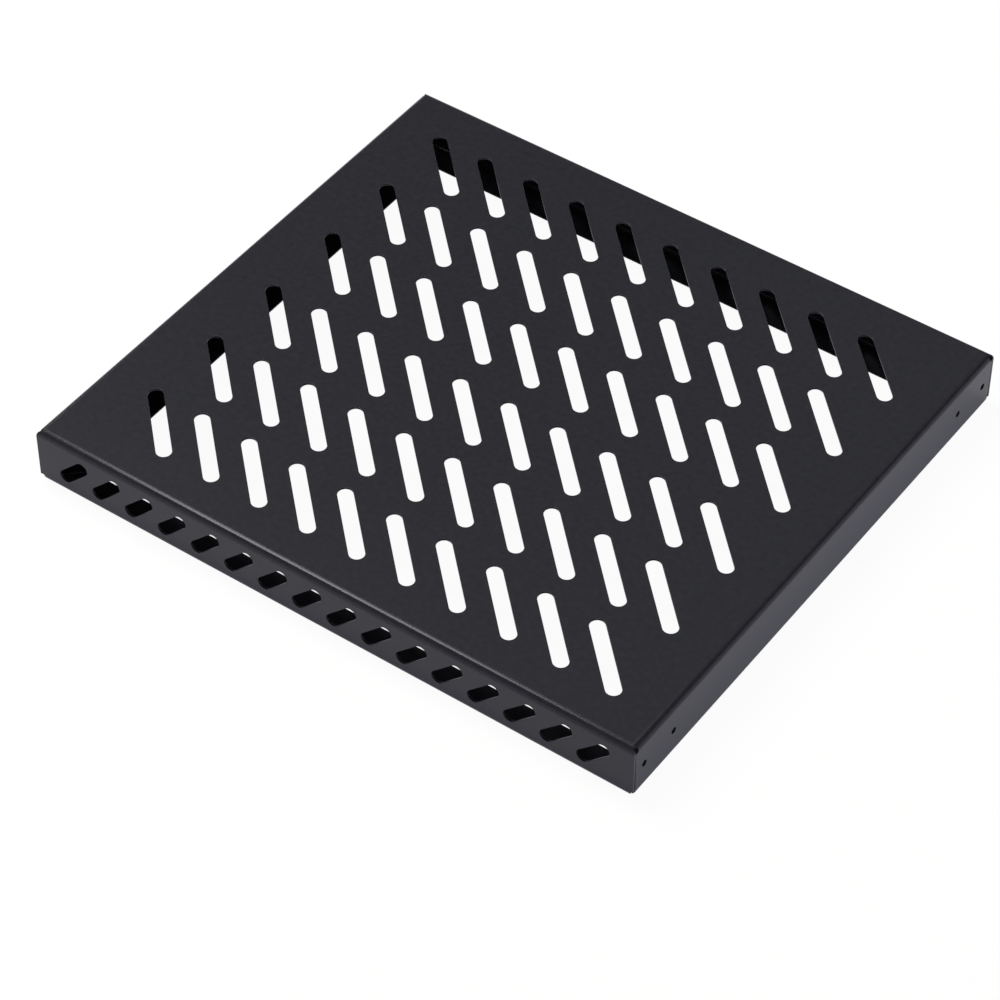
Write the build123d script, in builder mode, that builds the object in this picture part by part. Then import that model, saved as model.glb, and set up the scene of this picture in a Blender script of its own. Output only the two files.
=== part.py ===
"""Vented shelf for a 19 inch equipment rack: one sheet of steel, punched and folded.

The deck carries the equipment. All four edges fold down into walls, and each wall folds
in again at the bottom into a return lip, which is what the shelf stands on.
Units are millimetres. +X is the shelf's right as seen from its front, +Y its back, +Z up.
The origin is under the middle of the shelf, in the plane of the lips' underside.
"""

import os

from build123d import *

# The folded sheet, measured over the outside
width = 440.0
depth = 400.0
height = 42.0
sheet = 1.5
bend_inside = 3.5
lip_reach = 21.5

# Vents in the deck: two banks of slanted slots, with a wider web between the banks.
# The margin is the least distance from the middle of a slot to the edge of the deck, and
# the shifts are how far the whole pattern stands to the right of the middle and behind it.
deck_slot_length = 60.0
deck_slot_width = 10.0
deck_slot_angle = -45.0
column_pitch = 36.6
row_pitch = 58.6
bank_gap = 61.5
deck_margin = 45.0
pattern_shift_right = 2.0
pattern_shift_back = -3.0

# Vents in the front and back walls: one row of short slanted slots in each, at mid height
wall_slot_length = 28.0
wall_slot_width = 9.0
wall_slot_angle = 45.0
wall_slot_pitch = 25.6
wall_margin = 25.0

# Straight sides that stand for a full circle at the slots' round ends
round_end_sides = 20

# Screw holes in the side walls, at mid height: a pair near each end
screw_hole = 4.5
screw_end_distance = 11.0
screw_spacing = 30.0

# The corners, where the folds meet. The seams are in the side walls, behind the front wall
# and before the back wall, which reach over the full width.
relief_hole = 3.2
relief_from_side = 0.8
relief_from_end = 2.8
lip_relief_hole = 4.0
lip_relief_inset = 1.0
seam_at_deck = 0.3
seam_at_lip = 1.0
mitre_gap = 0.6

# Heights and places that follow
bend_outside = bend_inside + sheet
wall_top = height - bend_outside
front_inner_face = sheet - depth / 2

# Slots that there is room for
deck_columns = 1 + int((width - 2 * deck_margin) / column_pitch)
bank_rows = 1 + int((depth / 2 - bank_gap / 2 - deck_margin) / row_pitch)
wall_slots = 1 + int((width - 2 * wall_margin) / wall_slot_pitch)


def wall_section():
    """Section of the back wall: border of the deck, fold, wall, fold and return lip."""
    middle = sheet / 2
    wall_y = depth / 2 - middle
    with BuildSketch(Plane.YZ) as section:
        with BuildLine():
            FilletPolyline(
                (depth / 2 - lip_reach, height - middle),
                (wall_y, height - middle),
                (wall_y, middle),
                (depth / 2 - lip_reach, middle),
                radius=bend_inside + middle,
            )
        trace(line_width=sheet)
    return section.sketch


def outline_of_shelf():
    """The way round the four walls, starting in the middle of the back wall."""
    with BuildLine(Plane.XY.offset(height)) as outline:
        Polyline(
            (0, depth / 2),
            (width / 2, depth / 2),
            (width / 2, -depth / 2),
            (-width / 2, -depth / 2),
            (-width / 2, depth / 2),
            close=True,
        )
    return outline.wire()


def folded_sheet(section, outline):
    """The blank after folding: four walls with their lips, round a plain deck."""
    with BuildPart() as blank:
        sweep(sections=section, path=outline, transition=Transition.RIGHT)
        with BuildSketch(Plane.XY.offset(height)):
            Rectangle(width - 2 * lip_reach, depth - 2 * lip_reach)
        extrude(amount=-sheet)
    return blank.part


def vent_slot(length, width):
    """Outline of one slot along X. Fine polygons for its round ends keep so many slots light."""
    with BuildSketch() as outline:
        Rectangle(length - width, width)
        with GridLocations(length - width, 0, 2, 1):
            RegularPolygon(width / 2, round_end_sides)
    return outline.sketch


def corner_openings():
    """What is cut away at the front right corner so that its walls and lips can fold."""
    with BuildPart() as openings:
        # Relief hole between the two top folds
        with BuildSketch(Plane.XY.offset(height)):
            with Locations((width / 2 - relief_from_side, relief_from_end - depth / 2)):
                Circle(relief_hole / 2)
        extrude(amount=-bend_outside)

        # Relief hole between the two lip folds
        with BuildSketch(Plane.XY):
            with Locations((width / 2 - lip_relief_inset, lip_relief_inset - depth / 2)):
                Circle(lip_relief_hole / 2)
        extrude(amount=bend_outside)

        # Seam between the front wall and the end of the side wall, wider at the bottom
        with BuildSketch(Plane.YZ.offset(width / 2)):
            Polygon(
                (front_inner_face, 0),
                (front_inner_face, wall_top),
                (front_inner_face + seam_at_deck, wall_top),
                (front_inner_face + seam_at_lip, 0),
                align=None,
            )
        extrude(amount=-sheet)

        # Mitre between the two lips
        with BuildSketch(Plane.XY):
            with Locations((width / 2, -depth / 2)):
                Rectangle(2 * 2**0.5 * (lip_reach + mitre_gap), mitre_gap, rotation=-45)
        extrude(amount=bend_outside)
    return openings.part


blank = folded_sheet(wall_section(), outline_of_shelf())
deck_slot = vent_slot(deck_slot_length, deck_slot_width)
wall_slot = vent_slot(wall_slot_length, wall_slot_width)
front_right_corner = corner_openings()

with BuildPart() as shelf_tray:
    add(blank)

    # The same openings at all four corners
    front_corners = [front_right_corner, front_right_corner.mirror(Plane.YZ)]
    back_corners = [corner.mirror(Plane.XZ) for corner in front_corners]
    add(front_corners + back_corners, mode=Mode.SUBTRACT)

    # Screw holes straight through the side walls
    pair_centre = depth / 2 - screw_end_distance - screw_spacing / 2
    with BuildSketch(Plane.YZ):
        with Locations((-pair_centre, height / 2), (pair_centre, height / 2)):
            with GridLocations(screw_spacing, 0, 2, 1):
                Circle(screw_hole / 2)
    extrude(amount=width, both=True, mode=Mode.SUBTRACT)

    # Vents straight through the front and back walls
    with BuildSketch(Plane.XZ):
        with Locations((0, height / 2)):
            with GridLocations(wall_slot_pitch, 0, wall_slots, 1):
                add(wall_slot, rotation=wall_slot_angle)
    extrude(amount=depth, both=True, mode=Mode.SUBTRACT)

    # Vents in the deck
    bank_centre = bank_gap / 2 + (bank_rows - 1) / 2 * row_pitch
    front_bank = (pattern_shift_right, pattern_shift_back - bank_centre)
    back_bank = (pattern_shift_right, pattern_shift_back + bank_centre)
    with BuildSketch(Plane.XY.offset(height)):
        with Locations(front_bank, back_bank):
            with GridLocations(column_pitch, row_pitch, deck_columns, bank_rows):
                add(deck_slot, rotation=deck_slot_angle)
    extrude(amount=-sheet, mode=Mode.SUBTRACT)

shelf_tray.part.label = "shelf_tray"

os.makedirs("parts", exist_ok=True)
export_step(shelf_tray.part, "parts/shelf_tray.step")
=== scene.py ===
"""Looks of the vented rack shelf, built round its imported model.

The shelf is one folded sheet of steel. Here the folded blank is made in mesh code, Geometry
Nodes punch its vents and screw holes with slightly rounded rims, and a black powder coat
covers it. Lengths are metres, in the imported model's frame.
"""

import math

import bmesh
import bpy
from mathutils import Matrix, Vector


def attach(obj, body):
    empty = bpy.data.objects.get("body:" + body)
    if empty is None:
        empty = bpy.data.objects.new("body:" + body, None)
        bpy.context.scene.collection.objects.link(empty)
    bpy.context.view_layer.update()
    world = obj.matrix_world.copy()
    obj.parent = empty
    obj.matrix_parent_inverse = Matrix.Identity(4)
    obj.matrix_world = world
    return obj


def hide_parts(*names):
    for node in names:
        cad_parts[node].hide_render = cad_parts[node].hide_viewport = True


MM = 0.001
QUARTER_TURN = math.radians(90)
HALF_TURN = math.radians(180)

# The folded sheet, measured over the outside
WIDTH = 440 * MM
DEPTH = 400 * MM
HEIGHT = 42 * MM
SHEET = 1.5 * MM
BEND_OUTSIDE = 5 * MM
BEND_INSIDE = BEND_OUTSIDE - SHEET
LIP_REACH = 21.5 * MM
BEND_STEPS = 8

# Every punched edge is a little rounded. Cutters reach past the sheet by the clearance.
RIM = 0.25 * MM
END_STEPS = 12
CUT_CLEARANCE = 0.2 * MM

# Points this close are one, and edges past this angle stay sharp
MERGE_DISTANCE = 0.001 * MM
SHARP_ANGLE = math.radians(50)

# Vents in the deck: two banks of slanted slots, the whole pattern a little off the middle
DECK_SLOT = (60 * MM, 10 * MM)
DECK_SLOT_ANGLE = math.radians(-45)
DECK_COLUMNS = 10
BANK_ROWS = 3
COLUMN_PITCH = 36.6 * MM
ROW_PITCH = 58.6 * MM
BANK_GAP = 61.5 * MM
PATTERN_SHIFT_RIGHT = 2 * MM
PATTERN_SHIFT_BACK = -3 * MM

# Vents in the front and back walls: one row in each, at mid height
WALL_SLOT = (28 * MM, 9 * MM)
WALL_SLOT_ANGLE = math.radians(45)
WALL_SLOTS = 16
WALL_SLOT_PITCH = 25.6 * MM

# Screw holes in the side walls, at mid height: a pair near each end
SCREW_HOLE = 4.5 * MM
SCREW_END_DISTANCE = 11 * MM
SCREW_SPACING = 30 * MM

# Corners, where the folds meet
RELIEF_HOLE = 3.2 * MM
RELIEF_FROM_SIDE = 0.8 * MM
RELIEF_FROM_END = 2.8 * MM
LIP_RELIEF_HOLE = 4 * MM
LIP_RELIEF_INSET = 1 * MM
SEAM_AT_DECK = 0.3 * MM
SEAM_AT_LIP = 1 * MM
MITRE_GAP = 0.6 * MM

# The camera of the photograph
CAMERA_PLACE = (0.92849, -1.32793, 1.60212)
CAMERA_RIGHT = (0.81391, 0.58098, 0.0021)
CAMERA_UP = (-0.41646, 0.581, 0.69929)
CAMERA_BACK = (0.40509, -0.57003, 0.71482)
CAMERA_LENS = 131.49
SENSOR = 36

# The powder coat: two near blacks that mottle, its gloss, and how high its orange peel stands
COAT_DARK = (0.0164, 0.0169, 0.0206, 1)
COAT_LIGHT = (0.0208, 0.0215, 0.0262, 1)
COAT_SPECULAR = 0.25
COAT_TINT = (0.86, 0.88, 1, 1)
COAT_ROUGHNESS = (0.275, 0.285)
PEEL_HEIGHT = 0.05 * MM
PEEL_STRENGTH = 0.5

# How fine the coat's patterns are, as noise scale and detail, and where a noise's values mostly lie
PEEL_GRAIN = (700, 3)
MOTTLE_GRAIN = (260, 4)
CLOUD_GRAIN = (9, 3)
NOISE_RANGE = (0.3, 0.7)

# The floor: half its width, how far below the shelf it lies, and its grey
FLOOR_REACH = 12
FLOOR_GAP = 0.5 * MM
FLOOR_PAINT = (0.9, 0.9, 0.9, 1)

# How much of the floor's white is its own, to the camera and in gloss. The lamps give the rest.
OWN_WHITE_SEEN = 0.95
OWN_WHITE_IN_GLOSS = 0.6

# Studio, where 1 is white: the fill light, and the white round the shelf as gloss finds it
FILL_LEVEL = 0.35
GLOSS_WHITE = (0.79, 0.78, 0.94, 1)

# In gloss the studio's bright walls fade into its dark ceiling between these two directions, each
# given as the sine of its angle above level
WALLS_END = 0.02
CEILING_START = 0.3
WALL_LEVEL = 1.25
CEILING_LEVEL = 0.04

# Soft lamps: place, length, width, watts and colour
LAMPS = {
    "overhead left": ((-0.85, 0.05, 1.86), 1.6, 0.62, 45, (1, 0.97, 0.92)),
    "faint, behind": ((0, 1.6, 1.75), 1.4, 1.7, 1.9, (1, 1, 1)),
}


def mesh_object(name, mesh):
    """A new object in the scene that shows this mesh."""
    made = bpy.data.objects.new(name, mesh)
    bpy.context.scene.collection.objects.link(made)
    return made


def object_from_bmesh(name, bm):
    """Closes the work on a bmesh: doubles merged, faces outward, a new object made of it."""
    bmesh.ops.remove_doubles(bm, verts=bm.verts, dist=MERGE_DISTANCE)
    bmesh.ops.recalc_face_normals(bm, faces=bm.faces)
    mesh = bpy.data.meshes.new(name)
    bm.to_mesh(mesh)
    bm.free()
    return mesh_object(name, mesh)


def skin_between(bm, rings):
    """Joins rings of vertices, each to the next, and closes both ends."""
    for ring, following in zip(rings, rings[1:]):
        for i, corner in enumerate(ring):
            j = (i + 1) % len(ring)
            bm.faces.new((corner, ring[j], following[j], following[i]))
    bm.faces.new(rings[0])
    bm.faces.new(rings[-1])


# The folded blank


def fold(centre_inset, centre_z, radius, start, end):
    """Points of a quarter bend, as (inset from the outside, height)."""
    points = []
    for step in range(BEND_STEPS + 1):
        angle = math.radians(start + (end - start) * step / BEND_STEPS)
        points.append((centre_inset - radius * math.cos(angle), centre_z + radius * math.sin(angle)))
    return points


def blank_section():
    """Section of a wall, from the deck's top round the lip's edge to the deck's underside."""
    top = HEIGHT - BEND_OUTSIDE
    bottom = BEND_OUTSIDE
    outside = fold(BEND_OUTSIDE, top, BEND_OUTSIDE, 90, 0) + fold(BEND_OUTSIDE, bottom, BEND_OUTSIDE, 0, -90)
    lip_edge = [
        (LIP_REACH - RIM, 0),
        (LIP_REACH, RIM),
        (LIP_REACH, SHEET - RIM),
        (LIP_REACH - RIM, SHEET),
    ]
    inside = fold(BEND_OUTSIDE, bottom, BEND_INSIDE, -90, 0) + fold(BEND_OUTSIDE, top, BEND_INSIDE, 0, 90)
    return outside + lip_edge + inside


def folded_blank():
    """The sheet after folding, before anything is punched."""
    bm = bmesh.new()
    rings = []
    for inset, z in blank_section():
        x = WIDTH / 2 - inset
        y = DEPTH / 2 - inset
        rings.append([bm.verts.new(place) for place in ((x, -y, z), (x, y, z), (-x, y, z), (-x, -y, z))])
    skin_between(bm, rings)
    return object_from_bmesh("shelf_sheet", bm)


# Punches and cutters


def slot_ring(bm, length, width, grow, z):
    """One ring of a slot's outline along X, grown by some amount, at a height."""
    ring = []
    reach = (length - width) / 2
    radius = width / 2 + grow
    for side in (1, -1):
        for step in range(END_STEPS + 1):
            angle = math.radians(-90 + 180 * step / END_STEPS)
            x = side * (reach + radius * math.cos(angle))
            ring.append(bm.verts.new((x, side * radius * math.sin(angle), z)))
    return ring


def slot_punch(name, length, width):
    """A punch for the sheet below Z 0. It widens at both faces, so that the rims come out rounded.

    Each rim is two flats of a quarter round, which meet at its middle. The outer flat runs on
    past the face by the clearance.
    """
    turn = RIM * (1 - math.sqrt(0.5))
    flare = RIM + CUT_CLEARANCE * (RIM - turn) / turn
    profile = [
        (CUT_CLEARANCE, flare),
        (-turn, turn),
        (-RIM, 0),
        (RIM - SHEET, 0),
        (turn - SHEET, turn),
        (-CUT_CLEARANCE - SHEET, flare),
    ]
    bm = bmesh.new()
    skin_between(bm, [slot_ring(bm, length, width, grow, z) for z, grow in profile])
    return object_from_bmesh(name, bm)


def prism(bm, outline, axis, start, end):
    """A straight prism from an outline in the two other axes."""
    rings = []
    for place in (start, end):
        ring = []
        for a, b in outline:
            corner = [a, b]
            corner.insert(axis, place)
            ring.append(bm.verts.new(corner))
        rings.append(ring)
    skin_between(bm, rings)


def circle_outline(x, y, diameter):
    """A round outline."""
    outline = []
    for step in range(2 * END_STEPS):
        angle = math.pi * step / END_STEPS
        outline.append((x + diameter / 2 * math.cos(angle), y + diameter / 2 * math.sin(angle)))
    return outline


def corner_signs():
    """The four corners, as signs of X and Y."""
    return [(x, y) for x in (1, -1) for y in (1, -1)]


def relief_cutter():
    """Round relief holes between the top folds and between the lip folds."""
    bm = bmesh.new()
    for side, end in corner_signs():
        x = side * (WIDTH / 2 - RELIEF_FROM_SIDE)
        y = end * (DEPTH / 2 - RELIEF_FROM_END)
        prism(bm, circle_outline(x, y, RELIEF_HOLE), 2, HEIGHT - BEND_OUTSIDE, HEIGHT + CUT_CLEARANCE)
        x = side * (WIDTH / 2 - LIP_RELIEF_INSET)
        y = end * (DEPTH / 2 - LIP_RELIEF_INSET)
        prism(bm, circle_outline(x, y, LIP_RELIEF_HOLE), 2, -CUT_CLEARANCE, BEND_OUTSIDE)
    return object_from_bmesh("relief_cutter", bm)


def seam_cutter():
    """Seams in the side walls, beside the front and back walls and wider at the bottom."""
    bm = bmesh.new()
    inner_face = DEPTH / 2 - SHEET
    for side, end in corner_signs():
        outline = [
            (end * inner_face, -CUT_CLEARANCE),
            (end * inner_face, HEIGHT - BEND_OUTSIDE),
            (end * (inner_face - SEAM_AT_DECK), HEIGHT - BEND_OUTSIDE),
            (end * (inner_face - SEAM_AT_LIP), -CUT_CLEARANCE),
        ]
        inner_side = side * (WIDTH / 2 - SHEET - CUT_CLEARANCE)
        prism(bm, outline, 0, inner_side, side * (WIDTH / 2 + CUT_CLEARANCE))
    return object_from_bmesh("seam_cutter", bm)


def mitre_cutter():
    """Mitres between the lips."""
    bm = bmesh.new()
    reach = LIP_REACH + MITRE_GAP
    half_gap = MITRE_GAP * math.sqrt(0.5)
    for side, end in corner_signs():
        outline = [
            (side * (WIDTH / 2 + half_gap), end * DEPTH / 2),
            (side * WIDTH / 2, end * (DEPTH / 2 + half_gap)),
            (side * (WIDTH / 2 - reach - half_gap), end * (DEPTH / 2 - reach)),
            (side * (WIDTH / 2 - reach), end * (DEPTH / 2 - reach - half_gap)),
        ]
        prism(bm, outline, 2, -CUT_CLEARANCE, BEND_OUTSIDE)
    return object_from_bmesh("mitre_cutter", bm)


# The punching, in Geometry Nodes

PUNCH_INPUTS = (
    ("Sheet", "NodeSocketGeometry"),
    ("Punch", "NodeSocketObject"),
    ("Columns", "NodeSocketInt"),
    ("Rows", "NodeSocketInt"),
    ("Width Over Columns", "NodeSocketFloat"),
    ("Depth Over Rows", "NodeSocketFloat"),
    ("Punch Turn", "NodeSocketRotation"),
    ("Grid Place", "NodeSocketVector"),
    ("Grid Turn", "NodeSocketRotation"),
    ("Finish", "NodeSocketMaterial"),
)


def punched_grid_tree():
    """A tree that punches a grid of openings through a sheet."""
    tree = bpy.data.node_groups.new("punched_grid", "GeometryNodeTree")
    for name, kind in PUNCH_INPUTS:
        tree.interface.new_socket(name, in_out="INPUT", socket_type=kind)
    tree.interface.new_socket("Punched Sheet", in_out="OUTPUT", socket_type="NodeSocketGeometry")

    given = tree.nodes.new("NodeGroupInput").outputs
    link = tree.links.new
    grid = tree.nodes.new("GeometryNodeMeshGrid")
    link(given["Width Over Columns"], grid.inputs["Size X"])
    link(given["Depth Over Rows"], grid.inputs["Size Y"])
    link(given["Columns"], grid.inputs["Vertices X"])
    link(given["Rows"], grid.inputs["Vertices Y"])

    punch = tree.nodes.new("GeometryNodeObjectInfo")
    link(given["Punch"], punch.inputs["Object"])
    placed = tree.nodes.new("GeometryNodeInstanceOnPoints")
    link(grid.outputs["Mesh"], placed.inputs["Points"])
    link(punch.outputs["Geometry"], placed.inputs["Instance"])
    link(given["Punch Turn"], placed.inputs["Rotation"])

    moved = tree.nodes.new("GeometryNodeTransform")
    link(placed.outputs["Instances"], moved.inputs["Geometry"])
    link(given["Grid Place"], moved.inputs["Translation"])
    link(given["Grid Turn"], moved.inputs["Rotation"])

    cut = tree.nodes.new("GeometryNodeMeshBoolean")
    cut.operation = "DIFFERENCE"
    cut.solver = "MANIFOLD"
    link(given["Sheet"], cut.inputs["Mesh 1"])
    link(moved.outputs["Geometry"], cut.inputs["Mesh 2"])

    realized = tree.nodes.new("GeometryNodeRealizeInstances")
    link(cut.outputs["Mesh"], realized.inputs["Geometry"])
    finished = tree.nodes.new("GeometryNodeSetMaterial")
    link(realized.outputs["Geometry"], finished.inputs["Geometry"])
    link(given["Finish"], finished.inputs["Material"])
    result = tree.nodes.new("NodeGroupOutput")
    link(finished.outputs["Geometry"], result.inputs["Punched Sheet"])
    return tree


def punch_grid(sheet, tree, name, values):
    """Adds one grid of openings to the sheet, its inputs set by their identifiers."""
    modifier = sheet.modifiers.new(name, "NODES")
    modifier.node_group = tree
    for socket in tree.interface.items_tree:
        if socket.in_out == "INPUT" and socket.name in values:
            modifier[socket.identifier] = values[socket.name]


def baked(source, name):
    """The source with all its modifiers as a plain new object. The source goes."""
    shown = source.evaluated_get(bpy.context.evaluated_depsgraph_get())
    mesh = bpy.data.meshes.new_from_object(shown)
    mesh.name = name
    bpy.data.objects.remove(source)
    return mesh_object(name, mesh)


def cut_away(sheet, cutter):
    """Subtracts a cutter from the sheet."""
    modifier = sheet.modifiers.new(cutter.name, "BOOLEAN")
    modifier.operation = "DIFFERENCE"
    modifier.solver = "MANIFOLD"
    modifier.object = cutter


def row_length(count, pitch):
    """From the first to the last in a row."""
    return (count - 1) * pitch


def punch_deck(sheet, tree, punch, finish):
    """Vents in the deck, one bank after the other."""
    bank_centre = BANK_GAP / 2 + row_length(BANK_ROWS, ROW_PITCH) / 2
    for name, y in (("front bank", -bank_centre), ("back bank", bank_centre)):
        punch_grid(sheet, tree, name, {
            "Punch": punch,
            "Columns": DECK_COLUMNS,
            "Rows": BANK_ROWS,
            "Width Over Columns": row_length(DECK_COLUMNS, COLUMN_PITCH),
            "Depth Over Rows": row_length(BANK_ROWS, ROW_PITCH),
            "Punch Turn": (0, 0, DECK_SLOT_ANGLE),
            "Grid Place": (PATTERN_SHIFT_RIGHT, PATTERN_SHIFT_BACK + y, HEIGHT),
            "Grid Turn": (0, 0, 0),
            "Finish": finish,
        })


def punch_end_walls(sheet, tree, punch, finish):
    """Vents in the front and back walls. Each slants as if one punch went straight through both."""
    for name, turn, y, slant in (("front wall", 0, -DEPTH / 2, 1), ("back wall", HALF_TURN, DEPTH / 2, -1)):
        punch_grid(sheet, tree, name, {
            "Punch": punch,
            "Columns": WALL_SLOTS,
            "Rows": 1,
            "Width Over Columns": row_length(WALL_SLOTS, WALL_SLOT_PITCH),
            "Depth Over Rows": 0.0,
            "Punch Turn": (0, 0, slant * WALL_SLOT_ANGLE),
            "Grid Place": (0, y, HEIGHT / 2),
            "Grid Turn": (QUARTER_TURN, 0, turn),
            "Finish": finish,
        })


def punch_side_walls(sheet, tree, punch, finish):
    """Screw holes in the side walls, a pair near each end."""
    pair_centre = DEPTH / 2 - SCREW_END_DISTANCE - SCREW_SPACING / 2
    for side, end in corner_signs():
        punch_grid(sheet, tree, "screw pair", {
            "Punch": punch,
            "Columns": 2,
            "Rows": 1,
            "Width Over Columns": SCREW_SPACING,
            "Depth Over Rows": 0.0,
            "Punch Turn": (0, 0, 0),
            "Grid Place": (side * WIDTH / 2, end * pair_centre, HEIGHT / 2),
            "Grid Turn": (QUARTER_TURN, 0, side * QUARTER_TURN),
            "Finish": finish,
        })


def punched_sheet(finish):
    """The folded sheet, cut at its corners and punched."""
    sheet = folded_blank()
    cutters = [relief_cutter(), seam_cutter(), mitre_cutter()]
    for cutter in cutters:
        cut_away(sheet, cutter)

    deck_punch = slot_punch("deck_slot_punch", *DECK_SLOT)
    wall_punch = slot_punch("wall_slot_punch", *WALL_SLOT)
    screw_punch = slot_punch("screw_hole_punch", SCREW_HOLE, SCREW_HOLE)
    tree = punched_grid_tree()
    punch_deck(sheet, tree, deck_punch, finish)
    punch_end_walls(sheet, tree, wall_punch, finish)
    punch_side_walls(sheet, tree, screw_punch, finish)

    punched = baked(sheet, "shelf_sheet")
    for used in cutters + [deck_punch, wall_punch, screw_punch]:
        bpy.data.objects.remove(used)
    return punched


def evenly_shaded(shelf):
    """The shelf with smooth folds, sharp edges and even normals on its flats."""
    shelf.data.shade_smooth()
    shelf.data.set_sharp_from_angle(angle=SHARP_ANGLE)
    even = shelf.modifiers.new("even normals", "WEIGHTED_NORMAL")
    even.keep_sharp = True
    return baked(shelf, "shelf_sheet")


# Finishes


def noise(tree, coordinates, grain):
    """A noise texture on the piece's own coordinates."""
    texture = tree.nodes.new("ShaderNodeTexNoise")
    scale, detail = grain
    texture.inputs["Scale"].default_value = scale
    texture.inputs["Detail"].default_value = detail
    tree.links.new(coordinates, texture.inputs["Vector"])
    return texture.outputs["Fac"]


def spread(tree, value, low, high):
    """Maps a noise value's usual range onto low to high."""
    mapped = tree.nodes.new("ShaderNodeMapRange")
    usual_low, usual_high = NOISE_RANGE
    mapped.inputs["From Min"].default_value = usual_low
    mapped.inputs["From Max"].default_value = usual_high
    mapped.inputs["To Min"].default_value = low
    mapped.inputs["To Max"].default_value = high
    tree.links.new(value, mapped.inputs["Value"])
    return mapped.outputs["Result"]


def mixed_colour(tree, share, first, second):
    """The first colour where the share is 0, the second where it is 1."""
    mix = tree.nodes.new("ShaderNodeMix")
    mix.data_type = "RGBA"
    mix.inputs["A"].default_value = first
    mix.inputs["B"].default_value = second
    tree.links.new(share, mix.inputs["Factor"])
    return mix.outputs["Result"]


def black_powder_coat():
    """Satin black powder coat: a fine orange peel, faint mottling and a slightly uneven gloss."""
    material = bpy.data.materials.new("black_powder_coat")
    material.use_nodes = True
    tree = material.node_tree
    link = tree.links.new
    coat = tree.nodes["Principled BSDF"]
    coat.inputs["Specular IOR Level"].default_value = COAT_SPECULAR
    coat.inputs["Specular Tint"].default_value = COAT_TINT
    place = tree.nodes.new("ShaderNodeTexCoord").outputs["Object"]

    peel = noise(tree, place, PEEL_GRAIN)
    mottle = noise(tree, place, MOTTLE_GRAIN)
    clouds = noise(tree, place, CLOUD_GRAIN)

    link(mixed_colour(tree, spread(tree, mottle, 0, 1), COAT_DARK, COAT_LIGHT), coat.inputs["Base Color"])
    link(spread(tree, clouds, *COAT_ROUGHNESS), coat.inputs["Roughness"])

    bump = tree.nodes.new("ShaderNodeBump")
    bump.inputs["Strength"].default_value = PEEL_STRENGTH
    bump.inputs["Distance"].default_value = PEEL_HEIGHT
    link(peel, bump.inputs["Height"])
    link(bump.outputs["Normal"], coat.inputs["Normal"])
    return material


# Studio


def calculate(tree, operation, first, second):
    """A math node. Each of its two inputs is a socket or a plain number."""
    node = tree.nodes.new("ShaderNodeMath")
    node.operation = operation
    for given, socket in zip((first, second), node.inputs):
        if isinstance(given, (int, float)):
            socket.default_value = given
        else:
            tree.links.new(given, socket)
    return node.outputs["Value"]


def ray_kinds(tree):
    """1 for the camera's own rays and those through glass, and 1 for rays in gloss."""
    rays = tree.nodes.new("ShaderNodeLightPath").outputs
    seen = calculate(tree, "MAXIMUM", rays["Is Camera Ray"], rays["Is Transmission Ray"])
    return seen, rays["Is Glossy Ray"]


def white_round_shelf(tree, in_gloss):
    """The studio's white: full to the camera, and a little dimmed and cool in gloss."""
    return mixed_colour(tree, in_gloss, (1, 1, 1, 1), GLOSS_WHITE)


def white_floor_material():
    """White floor: much of its white is its own, the rest is lit and holds the shelf's soft shadow."""
    material = bpy.data.materials.new("white_floor")
    material.use_nodes = True
    tree = material.node_tree
    link = tree.links.new
    paint = tree.nodes["Principled BSDF"]
    paint.inputs["Base Color"].default_value = FLOOR_PAINT
    paint.inputs["Roughness"].default_value = 1
    paint.inputs["Specular IOR Level"].default_value = 0
    glow = tree.nodes.new("ShaderNodeEmission")
    seen, in_gloss = ray_kinds(tree)
    link(white_round_shelf(tree, in_gloss), glow.inputs["Color"])
    share_seen = calculate(tree, "MULTIPLY", seen, OWN_WHITE_SEEN)
    share_in_gloss = calculate(tree, "MULTIPLY", in_gloss, OWN_WHITE_IN_GLOSS)
    mix = tree.nodes.new("ShaderNodeMixShader")
    link(calculate(tree, "ADD", share_seen, share_in_gloss), mix.inputs["Fac"])
    link(paint.outputs["BSDF"], mix.inputs[1])
    link(glow.outputs["Emission"], mix.inputs[2])
    link(mix.outputs["Shader"], tree.nodes["Material Output"].inputs["Surface"])
    return material


def white_walls_below_dark(tree):
    """How bright gloss finds the studio in each direction: white walls low down, dark above them."""
    direction = tree.nodes.new("ShaderNodeSeparateXYZ")
    tree.links.new(tree.nodes.new("ShaderNodeTexCoord").outputs["Generated"], direction.inputs["Vector"])
    height = tree.nodes.new("ShaderNodeMapRange")
    height.interpolation_type = "SMOOTHSTEP"
    height.inputs["From Min"].default_value = WALLS_END
    height.inputs["From Max"].default_value = CEILING_START
    height.inputs["To Min"].default_value = WALL_LEVEL
    height.inputs["To Max"].default_value = CEILING_LEVEL
    tree.links.new(direction.outputs["Z"], height.inputs["Value"])
    return height.outputs["Result"]


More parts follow.
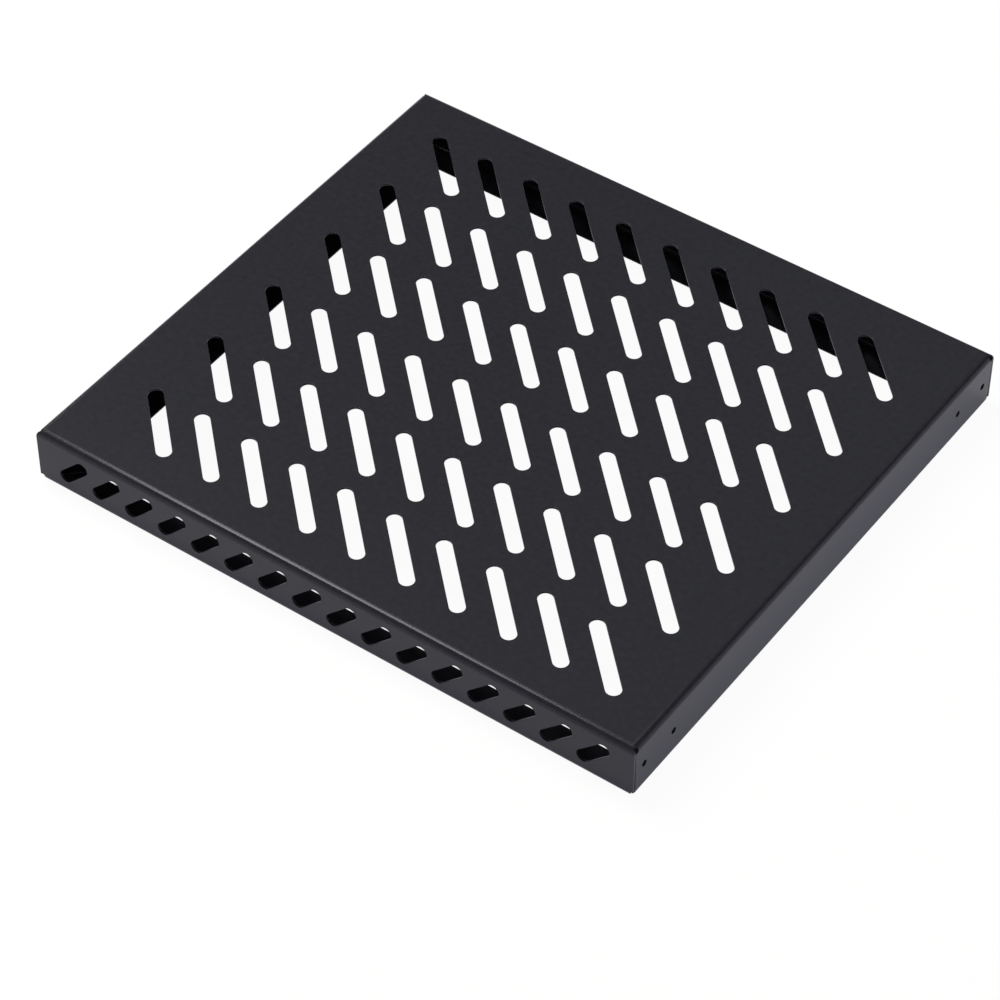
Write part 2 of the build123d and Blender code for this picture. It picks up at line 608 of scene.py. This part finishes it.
def studio_world():
    """White to the camera, white walls below a dark ceiling in gloss, and a plain soft fill light."""
    world = bpy.data.worlds.new("studio")
    world.use_nodes = True
    tree = world.node_tree
    background = tree.nodes["Background"]
    seen, in_gloss = ray_kinds(tree)
    tree.links.new(white_round_shelf(tree, in_gloss), background.inputs["Color"])
    either = calculate(tree, "ADD", seen, in_gloss)
    fill = calculate(tree, "MULTIPLY", calculate(tree, "SUBTRACT", 1, either), FILL_LEVEL)
    gloss = calculate(tree, "MULTIPLY", in_gloss, white_walls_below_dark(tree))
    strength = calculate(tree, "ADD", seen, calculate(tree, "ADD", gloss, fill))
    tree.links.new(strength, background.inputs["Strength"])
    bpy.context.scene.world = world


def floor():
    """A large plain floor just under the shelf."""
    bm = bmesh.new()
    bmesh.ops.create_grid(bm, x_segments=1, y_segments=1, size=FLOOR_REACH)
    mesh = bpy.data.meshes.new("floor")
    bm.to_mesh(mesh)
    bm.free()
    made = mesh_object("floor", mesh)
    made.location.z = -FLOOR_GAP
    made.data.materials.append(white_floor_material())


def soft_light(name, place, length, width, power, colour):
    """A soft light that faces the shelf, its width level and its length sloping."""
    light = bpy.data.lights.new(name, "AREA")
    light.shape = "RECTANGLE"
    light.size = width
    light.size_y = length
    light.energy = power
    light.color = colour
    made = bpy.data.objects.new(name, light)
    bpy.context.scene.collection.objects.link(made)
    made.location = place
    made.rotation_euler = Vector(place).to_track_quat("Z", "Y").to_euler()


def camera():
    """The photograph's viewing angle."""
    lens = bpy.data.cameras.new("camera")
    lens.lens = CAMERA_LENS
    lens.sensor_width = SENSOR
    made = bpy.data.objects.new("camera", lens)
    bpy.context.scene.collection.objects.link(made)
    turned = Matrix((CAMERA_RIGHT, CAMERA_UP, CAMERA_BACK)).transposed()
    made.location = CAMERA_PLACE
    made.rotation_euler = turned.to_euler()
    bpy.context.scene.camera = made


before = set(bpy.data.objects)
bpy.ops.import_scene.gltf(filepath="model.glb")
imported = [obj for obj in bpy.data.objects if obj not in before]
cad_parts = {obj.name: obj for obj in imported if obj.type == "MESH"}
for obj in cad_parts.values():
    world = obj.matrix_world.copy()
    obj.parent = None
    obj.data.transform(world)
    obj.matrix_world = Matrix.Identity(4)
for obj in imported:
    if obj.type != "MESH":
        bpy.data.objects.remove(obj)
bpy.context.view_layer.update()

shelf = evenly_shaded(punched_sheet(black_powder_coat()))
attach(shelf, "root")
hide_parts("shelf_tray")

camera()
studio_world()
floor()
for lamp, values in LAMPS.items():
    soft_light(lamp, *values)
bpy.context.scene.view_settings.view_transform = "Standard"
